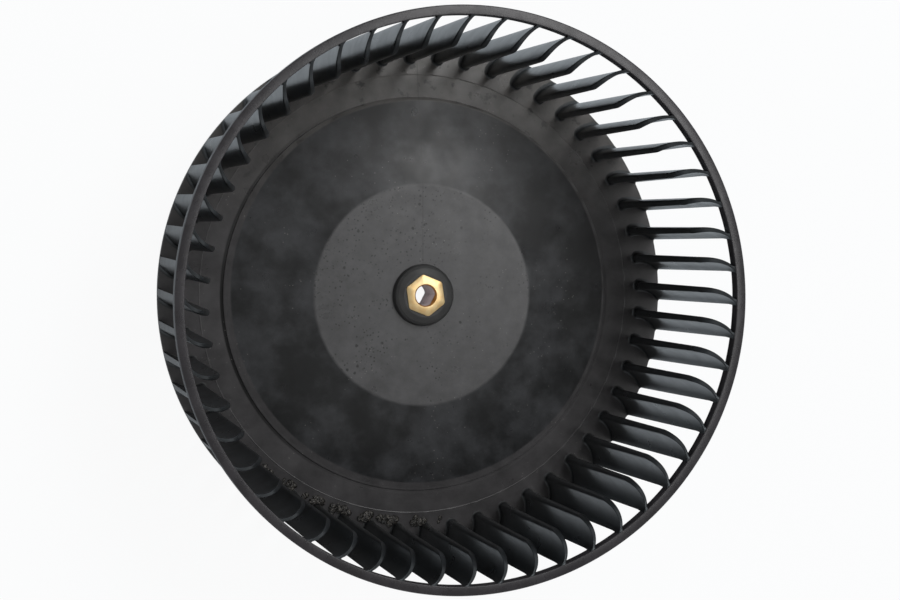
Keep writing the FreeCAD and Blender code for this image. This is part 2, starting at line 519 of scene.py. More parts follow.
    def smudges(self, tree: Tree, place: Socket, region: Socket) -> Socket:
        """Share of each point that is a ragged dark smudge.

        Args:
            tree: Material's node tree.
            place: Position on the wheel.
            region: 1 where the smudges are.

        Returns:
            Socket of the share.
        """
        ragged = add_node(tree, "ShaderNodeTexNoise", {
            "Vector": place, "Scale": per_metre(self.smudge_size), "Detail": 5.0, "Roughness": 0.6,
        })
        dark = add_node(tree, "ShaderNodeMapRange", {
            "Value": ragged.outputs["Fac"], "From Min": 0.6, "From Max": 0.67, "To Max": 0.8,
        })
        kept = add_node(tree, "ShaderNodeMath", {0: dark.outputs["Result"], 1: region}, operation="MULTIPLY")
        return kept.outputs["Value"]

    def painted_shade(self, tree: Tree, place: Socket, radius: Socket) -> Socket:
        """Share of each point that is painted shade in the groove outside the step, heaviest on the -X side.

        Args:
            tree: Material's node tree.
            place: Position on the wheel.
            radius: Distance from the shaft axis.

        Returns:
            Socket of the share.
        """
        axes = add_node(tree, "ShaderNodeSeparateXYZ", {"Vector": place})
        share: Socket | float = 0.9
        for value, start, end in (
                (radius, self.step_radius + self.painted_shade_span[0], self.step_radius + self.painted_shade_span[1]),
                (radius, self.step_radius - 0.05, self.step_radius + 0.05),
                (axes.outputs["X"], *self.painted_shade_side)):
            near = add_node(tree, "ShaderNodeMapRange", {
                "Value": value, "From Min": start * MM, "From Max": end * MM,
            })
            share = add_node(tree, "ShaderNodeMath", {0: near.outputs["Result"], 1: share},
                             operation="MULTIPLY").outputs["Value"]
        return share

    def dust(self, tree: Tree, place: Socket) -> Socket:
        """Share of each point that is a pale speck of dust, in loose groups.

        Args:
            tree: Material's node tree.
            place: Position on the wheel.

        Returns:
            Socket of the share.
        """
        specks = add_node(tree, "ShaderNodeTexVoronoi", {
            "Vector": place, "Scale": per_metre(self.dust_spacing),
        })
        dot = add_node(tree, "ShaderNodeMapRange", {
            "Value": specks.outputs["Distance"], "From Min": 0.14, "From Max": 0.06, "To Max": 0.35,
        })
        groups = add_node(tree, "ShaderNodeTexNoise", {
            "Vector": place, "Scale": per_metre(self.dust_grouping), "Detail": 3.0,
        })
        where = add_node(tree, "ShaderNodeMapRange", {
            "Value": groups.outputs["Fac"], "From Min": 0.53, "From Max": 0.6,
        })
        return add_node(tree, "ShaderNodeMath", {
            0: dot.outputs["Result"], 1: where.outputs["Result"],
        }, operation="MULTIPLY").outputs["Value"]

    def pits(self, tree: Tree, place: Socket, centre: Socket) -> Socket:
        """Share of each point that is a dark pit, in crowds that thicken towards one side.

        Args:
            tree: Material's node tree.
            place: Position on the wheel.
            centre: 1 on the flat centre, where the pits are.

        Returns:
            Socket of the share.
        """
        ragged = add_node(tree, "ShaderNodeTexNoise", {
            "Vector": place, "Scale": per_metre(self.pit_ragging), "Detail": 2.0,
        })
        pushed = add_node(tree, "ShaderNodeVectorMath", {
            0: ragged.outputs["Color"], 1: (self.pit_ragging * MM,) * 3, 2: place,
        }, operation="MULTIPLY_ADD")
        towards = add_node(tree, "ShaderNodeVectorMath", {0: place, 1: heading(self.pit_direction)},
                           operation="DOT_PRODUCT")
        dots = []
        for spacing, edge, crowd_size, rarity in self.pit_kinds:
            cells = add_node(tree, "ShaderNodeTexVoronoi", {
                "Vector": pushed.outputs["Vector"], "Scale": per_metre(spacing),
            })
            dot = add_node(tree, "ShaderNodeMapRange", {
                "Value": cells.outputs["Distance"], "From Min": edge, "From Max": edge / 2,
            })
            groups = add_node(tree, "ShaderNodeTexNoise", {
                "Vector": place, "Scale": per_metre(crowd_size), "Detail": 2.0,
            })
            crowded = add_node(tree, "ShaderNodeMath", {
                0: towards.outputs["Value"], 1: self.pit_crowding, 2: groups.outputs["Fac"],
            }, operation="MULTIPLY_ADD")
            where = add_node(tree, "ShaderNodeMapRange", {
                "Value": crowded.outputs["Value"], "From Min": rarity, "From Max": rarity + 0.06,
            })
            dots.append(add_node(tree, "ShaderNodeMath", {
                0: dot.outputs["Result"], 1: where.outputs["Result"],
            }, operation="MULTIPLY").outputs["Value"])
        all_dots = add_node(tree, "ShaderNodeMath", {0: dots[0], 1: dots[1]}, operation="MAXIMUM")
        inside = add_node(tree, "ShaderNodeMath", {
            0: all_dots.outputs["Value"], 1: centre,
        }, operation="MULTIPLY")
        return inside.outputs["Value"]

    def flow_line(self, tree: Tree, place: Socket) -> Socket:
        """Share of each point that is the fine flow line, which runs along +Y from the hub.

        Args:
            tree: Material's node tree.
            place: Position on the wheel.

        Returns:
            Socket of the share.
        """
        axes = add_node(tree, "ShaderNodeSeparateXYZ", {"Vector": place})
        aside = add_node(tree, "ShaderNodeMath", {0: axes.outputs["X"]}, operation="ABSOLUTE")
        line = add_node(tree, "ShaderNodeMapRange", {
            "Value": aside.outputs["Value"], "From Min": self.flow_line_width * MM, "From Max": 0.0,
            "To Max": 0.45,
        })
        above = add_node(tree, "ShaderNodeMath", {0: axes.outputs["Y"], 1: 0.0}, operation="GREATER_THAN")
        return add_node(tree, "ShaderNodeMath", {
            0: line.outputs["Result"], 1: above.outputs["Value"],
        }, operation="MULTIPLY").outputs["Value"]

    def sheen(self, tree: Tree, place: Socket) -> Socket:
        """Roughness, higher along the step on the -Y side, where the mould inserts left a dull line.

        Args:
            tree: Material's node tree.
            place: Position on the wheel.

        Returns:
            Socket of the roughness.
        """
        beside = add_node(tree, "ShaderNodeMath", {
            0: from_axis(tree, place), 1: (self.step_radius + 0.2) * MM,
        }, operation="SUBTRACT")
        away = add_node(tree, "ShaderNodeMath", {0: beside.outputs["Value"]}, operation="ABSOLUTE")
        dull = add_node(tree, "ShaderNodeMapRange", {
            "Value": away.outputs["Value"], "From Min": self.dull_span[0] * MM,
            "From Max": self.dull_span[1] * MM,
        })
        axes = add_node(tree, "ShaderNodeSeparateXYZ", {"Vector": place})
        lower = add_node(tree, "ShaderNodeMapRange", {
            "Value": axes.outputs["Y"], "From Min": self.dull_side[0] * MM,
            "From Max": self.dull_side[1] * MM,
        })
        dulled = add_node(tree, "ShaderNodeMath", {
            0: dull.outputs["Result"], 1: lower.outputs["Result"],
        }, operation="MULTIPLY")
        return add_node(tree, "ShaderNodeMix", {
            "Factor": dulled.outputs["Value"], "A": super().sheen(tree, place), "B": self.step_roughness,
        }, data_type="FLOAT").outputs["Result"]


@dataclass(frozen=True)
class MouldedBlade(MouldedNylon):
    """The same nylon on the blades, whose root fillets are painted a lighter grey as a painted highlight, and
    are duller.

    To the eye: a blue-black gloss on the faces that turns duller in the last millimetre, where a painted
    highlight turns it grey.
    """

    cone_base: float = 2.4
    cone_radius: float = 103.0
    cone_slope: float = 0.155
    # Painted highlight: the lighter grey of the root fillets.
    root_highlight_colour: str = "#313131"
    root_roughness: float = 0.42
    root_height: float = 0.8

    def root(self, tree: Tree, place: Socket) -> Socket:
        """Share of each point that is root fillet, by its height above the plate's cone.

        Args:
            tree: Material's node tree.
            place: Position on the wheel.

        Returns:
            Socket of the share.
        """
        axes = add_node(tree, "ShaderNodeSeparateXYZ", {"Vector": place})
        level = add_node(tree, "ShaderNodeMath", {
            0: from_axis(tree, place), 1: self.cone_slope, 2: axes.outputs["Z"],
        }, operation="MULTIPLY_ADD")
        cone = self.cone_base + self.cone_radius * self.cone_slope
        share = add_node(tree, "ShaderNodeMapRange", {
            "Value": level.outputs["Value"], "From Min": (cone + self.root_height) * MM,
            "From Max": (cone + 0.2 * self.root_height) * MM,
        })
        return share.outputs["Result"]

    def clouded(self, tree: Tree, place: Socket) -> Socket:
        """Colour of the faces, turning to a lighter grey at the root as a painted highlight.

        Args:
            tree: Material's node tree.
            place: Position on the wheel.

        Returns:
            Socket of the colour.
        """
        # Painted highlight on the root fillets.
        mix = add_node(tree, "ShaderNodeMix", {
            "Factor": self.root(tree, place), 6: super().clouded(tree, place), 7: linear(self.root_highlight_colour),
        }, data_type="RGBA")
        return mix.outputs[2]

    def sheen(self, tree: Tree, place: Socket) -> Socket:
        """Roughness that rises at the root.

        Args:
            tree: Material's node tree.
            place: Position on the wheel.

        Returns:
            Socket of the roughness.
        """
        mix = add_node(tree, "ShaderNodeMix", {
            "Factor": self.root(tree, place), "A": super().sheen(tree, place), "B": self.root_roughness,
        }, data_type="FLOAT")
        return mix.outputs["Result"]


@dataclass(frozen=True)
class MouldedRing(MouldedNylon):
    """The same nylon on the inlet ring, whose walls were left duller by the mould's parting.

    To the eye: a purplish grey front face with a soft sheen, and matt walls.
    """

    wall_roughness: float = 0.48

    def sheen(self, tree: Tree, place: Socket) -> Socket:
        """Roughness that is higher on the walls than on the front face.

        Args:
            tree: Material's node tree.
            place: Position on the wheel.

        Returns:
            Socket of the roughness.
        """
        face = super().sheen(tree, place)
        normal = add_node(tree, "ShaderNodeNewGeometry").outputs["True Normal"]
        upward = add_node(tree, "ShaderNodeSeparateXYZ", {"Vector": normal}).outputs["Z"]
        wall = add_node(tree, "ShaderNodeMapRange", {"Value": upward, "From Min": 0.9, "From Max": 0.5})
        mix = add_node(tree, "ShaderNodeMix", {
            "Factor": wall.outputs["Result"], "A": face, "B": self.wall_roughness,
        }, data_type="FLOAT")
        return mix.outputs["Result"]


@dataclass(frozen=True)
class TurnedBrass(Finish):
    """Free-machining brass (CZ121) bar, faced in a lathe.

    To the eye: bright warm yellow metal with faint rings from the facing cut.
    """

    colour: str
    stain_colour: str
    roughness: float
    metallic: float = 1.0
    stain_size: float = 3.0
    ring_pitch: float = 0.28
    ring_depth: float = 0.006

    def lay(self, tree: Tree, place: Socket) -> Socket:
        """Lays down the finish's nodes.

        Args:
            tree: Material's node tree.
            place: Position on the wheel.

        Returns:
            Socket of the finished shader.
        """
        stains = add_node(tree, "ShaderNodeTexNoise", {
            "Vector": place, "Scale": per_metre(self.stain_size), "Detail": 4.0,
        })
        amount = add_node(tree, "ShaderNodeMapRange", {
            "Value": stains.outputs["Fac"], "From Min": 0.42, "From Max": 0.75,
        })
        colour = add_node(tree, "ShaderNodeMix", {
            "Factor": amount.outputs["Result"], 6: linear(self.colour), 7: linear(self.stain_colour),
        }, data_type="RGBA")
        flat = add_node(tree, "ShaderNodeVectorMath", {0: place, 1: (1.0, 1.0, 0.0)}, operation="MULTIPLY")
        rings = add_node(tree, "ShaderNodeTexWave", {
            "Vector": flat.outputs["Vector"], "Scale": per_metre(self.ring_pitch) / 20, "Distortion": 0.4,
        }, wave_type="RINGS", rings_direction="SPHERICAL")
        bump = add_node(tree, "ShaderNodeBump", {
            "Height": rings.outputs["Fac"], "Distance": self.ring_depth * MM, "Strength": 0.6,
        })
        shader = add_node(tree, "ShaderNodeBsdfPrincipled", {
            "Base Color": colour.outputs[2], "Metallic": self.metallic, "Roughness": self.roughness,
            "Normal": bump.outputs["Normal"],
        })
        return shader.outputs["BSDF"]


@dataclass(frozen=True)
class PressedPutty(Finish):
    """Balancing putty, pressed on by hand and set.

    To the eye: dark, tacky-looking lumps with small bright glints and fingertip dents.
    """

    colour: str
    dust_colour: str
    roughness: float
    dent_size: float = 0.8
    dent_depth: float = 0.3
    ior: float = 1.5

    def lay(self, tree: Tree, place: Socket) -> Socket:
        """Lays down the finish's nodes.

        Args:
            tree: Material's node tree.
            place: Position on the wheel.

        Returns:
            Socket of the finished shader.
        """
        dents = add_node(tree, "ShaderNodeTexNoise", {
            "Vector": place, "Scale": per_metre(self.dent_size), "Detail": 4.0, "Roughness": 0.6,
        })
        dust = add_node(tree, "ShaderNodeMapRange", {
            "Value": dents.outputs["Fac"], "From Min": 0.5, "From Max": 0.75,
        })
        colour = add_node(tree, "ShaderNodeMix", {
            "Factor": dust.outputs["Result"], 6: linear(self.colour), 7: linear(self.dust_colour),
        }, data_type="RGBA")
        bump = add_node(tree, "ShaderNodeBump", {
            "Height": dents.outputs["Fac"], "Distance": self.dent_depth * MM, "Strength": 1.0,
        })
        shader = add_node(tree, "ShaderNodeBsdfPrincipled", {
            "Base Color": colour.outputs[2], "Roughness": self.roughness, "IOR": self.ior,
            "Normal": bump.outputs["Normal"],
        })
        return shader.outputs["BSDF"]


@dataclass(frozen=True)
class StudioFloor(Finish):
    """White painted board under the wheel.

    To the eye: plain white, with the wheel's soft shadow kept faint.
    """

    name: str = "painted_board_floor"
    colour: str = "#C6D0D8"
    glow: float = 0.93
    mirrored_glow: float = 0.15

    def lay(self, tree: Tree, place: Socket) -> Socket:
        """Lays down the finish's nodes.

        Args:
            tree: Material's node tree.
            place: Position on the wheel; not used.

        Returns:
            Socket of the finished shader.
        """
        rays = add_node(tree, "ShaderNodeLightPath")
        mirrored = add_node(tree, "ShaderNodeMath", {
            0: rays.outputs["Is Glossy Ray"], 1: self.mirrored_glow,
        }, operation="MULTIPLY")
        share = add_node(tree, "ShaderNodeMath", {
            0: rays.outputs["Is Camera Ray"], 1: self.glow, 2: mirrored.outputs["Value"],
        }, operation="MULTIPLY_ADD")
        paint = add_node(tree, "ShaderNodeBsdfDiffuse", {"Color": linear(self.colour)})
        white = add_node(tree, "ShaderNodeEmission", {"Color": WHITE, "Strength": 1.0})
        mix = add_node(tree, "ShaderNodeMixShader", {
            "Fac": share.outputs["Value"], 1: paint.outputs["BSDF"], 2: white.outputs["Emission"],
        })
        return mix.outputs["Shader"]


# ---- sub-assemblies --------------------------------------------------------------------------

@dataclass
class InletRing:
    """Narrow ring that ties the blade tips together at the inlet."""

    finish: MouldedNylon
    wall: float = 3.45
    outer_rounding: float = 0.45
    inner_rounding: float = 0.25
    segments: int = 416

    def build(self) -> bpy.types.Object:
        """Builds the ring.

        Returns:
            The ring.
        """
        top = top_of("front_ring")
        bottom = bottom_of("front_ring")
        outer = radius_of("front_ring")
        inner = outer - self.wall
        outline = rounded([
            (inner, bottom, self.inner_rounding),
            (outer, bottom, self.outer_rounding),
            (outer, top, self.outer_rounding),
            (inner, top, self.inner_rounding),
        ])
        points, faces = turned(outline, self.segments)
        return new_piece("inlet_ring", points, faces, self.finish.material(),
                         ["front_ring"])


@dataclass
class BackPlate:
    """Dished back plate: a rounded rim, a parting ridge, a step, a cone and a flat centre."""

    finish: MouldedPlate
    thickness: float = 2.4
    centre_radius: float = 43.1
    centre_rounding: float = 9.0
    step_height: float = 0.8
    step_rounding: float = 0.4
    lip_width: float = 2.0
    lip_drop: float = 0.25
    lip_edge: float = 0.3
    lip_rounding: float = 1.6
    lip_reach: float = 1.2
    lip_shift: float = 1.1
    lip_direction: float = 235.0
    groove_width: float = 0.5
    groove_depth: float = 0.05
    groove_foot: float = 0.15
    groove_roundings: tuple[float, float] = (0.2, 0.1)
    ridge_radius: float = 86.05
    ridge_width: float = 0.5
    ridge_height: float = 0.14
    ridge_rounding: float = 0.1
    rim_rounding: float = 0.35
    hub_radius: float = 12.0
    hub_lap: float = 0.5
    segments: int = 416
    rim_radius: float = field(init=False)
    step_radius: float = field(init=False)
    centre_z: float = field(init=False)
    step_z: float = field(init=False)

    def __post_init__(self) -> None:
        """Takes the plate's place from the frame."""
        self.rim_radius = radius_of("plate_rim")
        self.step_radius = radius_of("plate_disc")
        self.centre_z = top_of("plate_disc")
        self.step_z = top_of("plate_rim")

    def slope(self) -> float:
        """Rise of the plate's cone per unit of radius."""
        return (self.step_z - self.thickness) / (self.rim_radius - self.step_radius)

    def front_z(self, radius: Lengths) -> Lengths:
        """Height of the front face outside the step."""
        return self.thickness + (self.rim_radius - radius) * self.slope()

    def inner_z(self, radius: float) -> float:
        """Height of the front face of the inner cone."""
        share = (self.step_radius - radius) / (self.step_radius - self.centre_radius)
        return self.step_z + self.step_height + (self.centre_z - self.step_z - self.step_height) * share

    def lip_drift(self, angles: np.ndarray, radius: float, height: float) -> np.ndarray:
        """Sideways drift of the lip's inner edge, which is not quite round the shaft axis.

        Args:
            angles: Directions of a ring's points.
            radius: Radius of the ring.
            height: Height of the ring.

        Returns:
            Extra radius for each point.
        """
        if height < self.step_z:
            return np.zeros_like(angles)
        away = (radius - self.step_radius + self.lip_width) / self.lip_reach
        return -self.lip_shift * math.exp(-away ** 2) * np.cos(angles - math.radians(self.lip_direction))

    def build(self) -> bpy.types.Object:
        """Builds the plate.

        Returns:
            The plate.
        """
        back = self.thickness
        ridge_out = self.ridge_radius + self.ridge_width / 2
        ridge_in = self.ridge_radius - self.ridge_width / 2
        groove = self.step_radius + self.groove_width
        groove_outside, groove_inside = self.groove_roundings
        lip = self.step_radius - self.lip_width
        middle = self.hub_radius - self.hub_lap
        outline = rounded([
            (middle, self.centre_z, 0.0),
            (middle, self.centre_z - back, 0.0),
            (self.centre_radius, self.centre_z - back, self.centre_rounding),
            (self.step_radius, self.step_z + self.step_height - back, self.step_rounding),
            (self.step_radius, self.step_z - back, self.step_rounding),
            (self.rim_radius, 0.0, self.rim_rounding),
            (self.rim_radius, self.thickness, self.rim_rounding),
            (ridge_out, self.front_z(ridge_out), self.ridge_rounding),
            (self.ridge_radius, self.front_z(self.ridge_radius) + self.ridge_height, self.ridge_rounding),
            (ridge_in, self.front_z(ridge_in), self.ridge_rounding),
            (groove, self.front_z(groove), groove_outside),
            (self.step_radius + self.groove_foot, self.step_z - self.groove_depth, groove_inside),
            (self.step_radius, self.step_z + self.step_height - self.lip_drop, self.lip_edge),
            (lip, self.inner_z(lip), self.lip_rounding),
            (self.centre_radius, self.centre_z, self.centre_rounding),
        ])
        points, faces = turned(outline, self.segments, self.lip_drift)
        return new_piece("back_plate", points, faces, self.finish.material(),
                         ["plate_rim", "plate_disc"], sharp=50.0)


@dataclass
class Blade:
    """One curved blade as a thick curved sheet with rounded free edges and a flared root."""

    plate: BackPlate
    ring: InletRing
    camber_radius: float = 12.1
    outlet_angle: float = 51.0
    inlet_angle: float = 0.5
    tip_thickness: float = 0.9
    nose_thickness: float = 2.1
    draft_tip: float = 1.3
    draft_nose: float = 1.0
    draft_chord: float = 0.2
    lean: float = 0.4
    corner_inner_radius: float = 90.66
    corner_reach: float = 13.1
    corner_drop: float = 18.6
    nose_round_share: float = 0.85
    convex_rounding: float = 0.55
    concave_rounding: float = 0.22
    root_fillet: float = 1.6
    root_flare: float = 0.9
    ring_fillet: float = 0.9
    ring_flare: float = 0.8
    ring_fillet_start: float = 0.6
    steepest: float = 5.0
    sink: float = 0.06
    columns: int = 19
    root_rows: tuple[float, ...] = (0.0, 0.12, 0.3, 0.55, 0.85, 1.2, 1.6, 2.4)
    middle_rows: int = 11
    edge_rows: tuple[float, ...] = (1.5, 0.9, 0.55, 0.38, 0.22, 0.1, 0.03, 0.0)

    def sheet_point(self, along: np.ndarray, rise: np.ndarray, side: float,
                    half: np.ndarray) -> tuple[np.ndarray, np.ndarray]:
        """Points beside the blade's middle sheet.

        Args:
            along: Distance from the nose end, measured along the camber.
            rise: Share of the wheel's height, 0 at the floor and 1 at the inlet.
            side: 1 for the convex face, -1 for the concave face.
            half: Distance of each point from the middle sheet.

        Returns:
            The points as (x, y) and the inward direction of the camber there.
        """
        ends = []
        for stretch, nose, turn in ((self.draft_chord, self.nose_thickness + self.draft_nose, -self.lean),
                                    (0.0, self.nose_thickness, 0.0)):
            radius = self.camber_radius + stretch
            length = radius * math.radians(self.outlet_angle - self.inlet_angle)
            scale = (length + nose / 2) / self.camber_length()
            beyond = along * scale - nose / 2
            heading = math.radians(self.inlet_angle) + np.maximum(beyond, 0.0) / radius
            start = math.radians(self.outlet_angle)
            x = self.plate.rim_radius - radius * (math.sin(start) - np.sin(heading))
            y = radius * (np.cos(heading) - math.cos(start))
            overshoot = np.minimum(beyond, 0.0)
            x = x + overshoot * np.cos(heading)
            y = y - overshoot * np.sin(heading)
            x = x + side * half * np.sin(heading)
            y = y + side * half * np.cos(heading)
            swing = math.radians(turn)
            ends.append((x * math.cos(swing) - y * math.sin(swing), x * math.sin(swing) + y * math.cos(swing),
                         heading))
        (x0, y0, h0), (x1, y1, h1) = ends
        heading = h0 + (h1 - h0) * rise
        place = np.stack((x0 + (x1 - x0) * rise, y0 + (y1 - y0) * rise), axis=-1)
        inward = np.stack((-np.cos(heading), np.sin(heading)), axis=-1)
        return place, inward

    def camber_length(self) -> float:
        """Length of the middle sheet from tip to nose end at the inlet."""
        sweep = math.radians(self.outlet_angle - self.inlet_angle)
        return self.camber_radius * sweep + self.nose_thickness / 2

    def front_z(self, radius: np.ndarray) -> np.ndarray:
        """Height of the front edge, which falls away towards the nose on a quarter ellipse.

        Args:
            radius: Distance from the shaft axis.

        Returns:
            Height for each radius.
        """
        share = np.clip((self.corner_inner_radius + self.corner_reach - radius) / self.corner_reach, 0.0, 1.0)
        return top_of("front_ring") - self.corner_drop * (1 - np.sqrt(1 - share ** 2))

    def half_thickness(self, along: np.ndarray, rise: np.ndarray) -> np.ndarray:
        """Half of the blade's thickness before its edges are rounded.

        Args:
            along: Distance from the nose end.
            rise: Share of the wheel's height.

        Returns:
            Half thickness for each point.
        """
        towards_nose = 1 - np.clip(along / self.camber_length(), 0.0, 1.0)
        tip = self.tip_thickness + self.draft_tip * (1 - rise)
        nose = self.nose_thickness + self.draft_nose * (1 - rise)
        return (tip + (nose - tip) * towards_nose) / 2

    def face(self, side: float) -> np.ndarray:
        """Grid of points on one face.

        Args:
            side: 1 for the convex face, -1 for the concave face.

        Returns:
            Points by row from root to front edge, and by column from nose to tip.
        """
        tip_half = self.tip_thickness / 2
        length = self.camber_length() - side * tip_half * math.tan(math.radians(self.outlet_angle))
        theta = np.linspace(0.0, math.pi / 2, self.columns)
        along = np.concatenate(([0.0], length * (1 - np.cos(theta))))
        height = top_of("front_ring")
        none = np.zeros_like(along)
        low = none.copy()
        high = np.ones_like(along)
        for _ in range(3):
            root = np.linalg.norm(self.sheet_point(along, low, 0.0, none)[0], axis=-1)
            low = (self.plate.front_z(root) - self.sink) / height
            edge = np.linalg.norm(self.sheet_point(along, high, 0.0, none)[0], axis=-1)
            high = self.front_z(edge) / height
        steep = np.gradient((high * height)[1:], along[1:], edge_order=1)
        steep = np.concatenate((steep[:1], steep))
        reach = np.clip(np.sqrt(1 + steep ** 2), 1.0, self.steepest)
        rows = [low * height + offset for offset in self.root_rows]
        first = low * height + self.root_rows[-1]
        last = high * height - self.edge_rows[0] * reach
        for step in range(1, self.middle_rows + 1):
            rows.append(first + (last - first) * step / (self.middle_rows + 1))
        rows += [high * height - offset * reach for offset in self.edge_rows]
        z = np.array(rows)
        along = np.broadcast_to(along, z.shape)
        rise = z / height
        half = self.half_thickness(along, rise)
        edge_line = np.column_stack((along[0, 1:], (high * height)[1:]))
        gap = self.distance_to(edge_line, along, z)
        rounding = self.convex_rounding if side > 0 else self.concave_rounding
        rounding = np.minimum(rounding, half)
        front = self.rolled(half, rounding, gap)
        corner = half * self.nose_round_share
        nose = self.rolled(half, corner, along)
        nose[:, 0] = 0.0
        offset = np.minimum(front, half) * nose / half + self.tip_flare(length - along, z)
        place, inward = self.sheet_point(along, rise, side, offset)
        flare = self.flare(z - low * height)
        ahead = np.clip((corner - along) / corner, 0.0, 1.0)
        beside = np.sqrt(1 - ahead ** 2)
        outward = np.stack((-inward[..., 1], inward[..., 0]), axis=-1) * -side
        place = place + flare[..., None] * (ahead[..., None] * inward + beside[..., None] * outward)
        radius = np.linalg.norm(place, axis=-1)
        limit = np.minimum(self.plate.rim_radius / radius, 1.0)
        limit[:, -1] = self.plate.rim_radius / radius[:, -1]
        place = place * limit[..., None]
        return np.dstack((place, z))

    @staticmethod
    def rolled(half: np.ndarray, rounding: np.ndarray, gap: np.ndarray) -> np.ndarray:
        """Half thickness near an edge whose corner is rounded off.

        Args:
            half: Half thickness away from the edge.
            rounding: Radius of the corner.
            gap: Distance from the edge.

        Returns:
            Half thickness for each point.
        """
        short = np.maximum(rounding - gap, 0.0)
        return half - rounding + np.sqrt(np.maximum(rounding ** 2 - short ** 2, 0.0))

    def flare(self, above: np.ndarray) -> np.ndarray:
        """Width of the root's fillet at a height above the plate.

        Args:
            above: Height above the plate.

        Returns:
            Extra width for each height.
        """
        share = np.clip(1 - above / self.root_fillet, 0.0, 1.0)
        return self.root_fillet * (1 - np.sqrt(1 - share ** 2)) * self.root_flare

    def tip_flare(self, from_wall: np.ndarray, z: np.ndarray) -> np.ndarray:
        """Width of the small fillet that joins the tip to the ring.

        Args:
            from_wall: Distance from the ring's inner wall.
            z: Height of each point.

        Returns:
            Extra width for each point.
        """
        share = np.clip(1 - from_wall / self.ring_fillet, 0.0, 1.0)
        start = self.ring_fillet_start
        beside_ring = np.clip((z - bottom_of("front_ring") + start) / (2 * start), 0.0, 1.0)
        return self.ring_fillet * (1 - np.sqrt(1 - share ** 2)) * beside_ring * self.ring_flare

    @staticmethod
    def distance_to(line: np.ndarray, along: np.ndarray, z: np.ndarray) -> np.ndarray:
        """Distance of each point from the blade's front edge, measured in the unrolled sheet.

        Args:
            line: The front edge as rows of (along, height).
            along: Distance of each point from the nose end.
            z: Height of each point.

        Returns:
            Distance for each point.
        """
        start = line[:-1]
        step = line[1:] - start
        offset_x = along[..., None] - start[:, 0]
        offset_z = z[..., None] - start[:, 1]
        share = (offset_x * step[:, 0] + offset_z * step[:, 1]) / (step ** 2).sum(axis=1)
        share = np.clip(share, 0.0, 1.0)
        gaps = np.hypot(offset_x - share * step[:, 0], offset_z - share * step[:, 1])
        return gaps.min(axis=-1)

    def mesh(self) -> tuple[np.ndarray, Faces]:
        """Both faces joined round their edges into one closed mesh.

        Returns:
            All points, and the faces.
        """
        convex = self.face(1.0)
        concave = self.face(-1.0)
        concave[:, 0] = convex[:, 0]
        rows, columns = convex.shape[:2]
        number = np.arange(rows * columns).reshape(rows, columns)
        other = number + rows * columns
        other[:, 0] = number[:, 0]
        faces: Faces = []
        for r in range(rows - 1):
            for c in range(columns - 1):
                faces.append((number[r, c], number[r, c + 1], number[r + 1, c + 1], number[r + 1, c]))
                faces.append((other[r, c], other[r + 1, c], other[r + 1, c + 1], other[r, c + 1]))
            faces.append((number[r, -1], other[r, -1], other[r + 1, -1], number[r + 1, -1]))
        for row, order in ((0, 1), (rows - 1, -1)):
            for c in range(columns - 1):
                loop = (number[row, c], other[row, c], other[row, c + 1], number[row, c + 1])[::order]
                faces.append(tuple(dict.fromkeys(loop)))
        points = np.vstack((convex.reshape(-1, 3), concave.reshape(-1, 3)))
        return points, [tuple(int(i) for i in face) for face in faces]


@dataclass
class BladeCage:
    """All blades, evenly spaced round the shaft."""

    blade: Blade
    finish: MouldedNylon
    count: int = 52
    first_angle: float = 6.2

    def build(self) -> list[bpy.types.Object]:
        """Builds every blade.

        Returns:
            The blades.
        """
        points, faces = self.blade.mesh()
        material = self.finish.material()
        found = []
        for index in range(self.count):
            angle = math.radians(self.first_angle + index * 360.0 / self.count)
            turn = np.array(((math.cos(angle), -math.sin(angle), 0.0),
                             (math.sin(angle), math.cos(angle), 0.0),
                             (0.0, 0.0, 1.0)))
            name = "blade_%02d" % (index + 1)
            found.append(new_piece("moulded_" + name, points @ turn.T, faces, material,
                                   [name], sharp=50.0))
        return found


